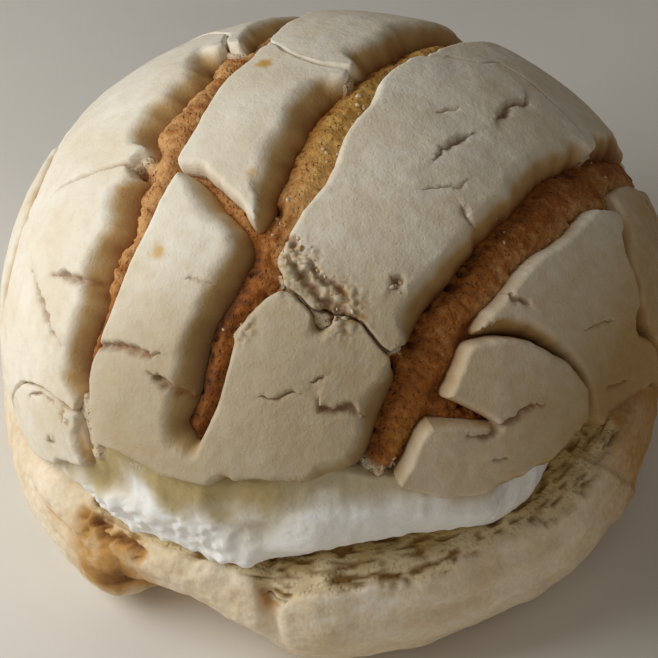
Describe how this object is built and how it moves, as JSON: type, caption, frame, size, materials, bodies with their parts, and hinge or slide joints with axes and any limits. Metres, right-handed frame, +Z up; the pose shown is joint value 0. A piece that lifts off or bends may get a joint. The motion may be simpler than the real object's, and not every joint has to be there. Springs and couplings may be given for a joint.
{
  "type": "cream-filled concha",
  "caption": "Round sweet bun with a scored shell of pale sugar paste that broke into plates, split open at the front over a thick filling of whipped cream",
  "frame": {"origin": "middle of the flat underside that the bun rests on", "axes": "+Z up, the open mouth with the cream faces -Y, +X to the right when looking into the mouth"},
  "size_m": [0.1181, 0.1169, 0.0821],
  "materials": {
    "bread_crust": "golden brown baked crust, dull, with stretched fibres",
    "base_crust": "pale dusty skin of the lower half with golden and brown patches",
    "cream": "soft whipped cream, faintly moist",
    "sugar_paste": "dry crumbly baked sugar paste, dull, cracked"
  },
  "bodies": {
    "root": {"bread_base": "base_crust", "cream_filling": "cream", "bread_crown": "bread_crust", "paste_front": "sugar_paste", "paste_middle_upper": "sugar_paste", "paste_middle_top": "sugar_paste", "paste_middle_back": "sugar_paste", "paste_right_upper": "sugar_paste", "paste_right_top": "sugar_paste", "paste_right_back": "sugar_paste", "paste_side_lower": "sugar_paste", "paste_side_upper": "sugar_paste", "paste_side_back": "sugar_paste", "paste_left_lower": "sugar_paste", "paste_left_middle": "sugar_paste", "paste_left_upper": "sugar_paste", "paste_left_back": "sugar_paste", "paste_edge_front": "sugar_paste", "paste_edge_back": "sugar_paste"}
  },
  "joints": []
}
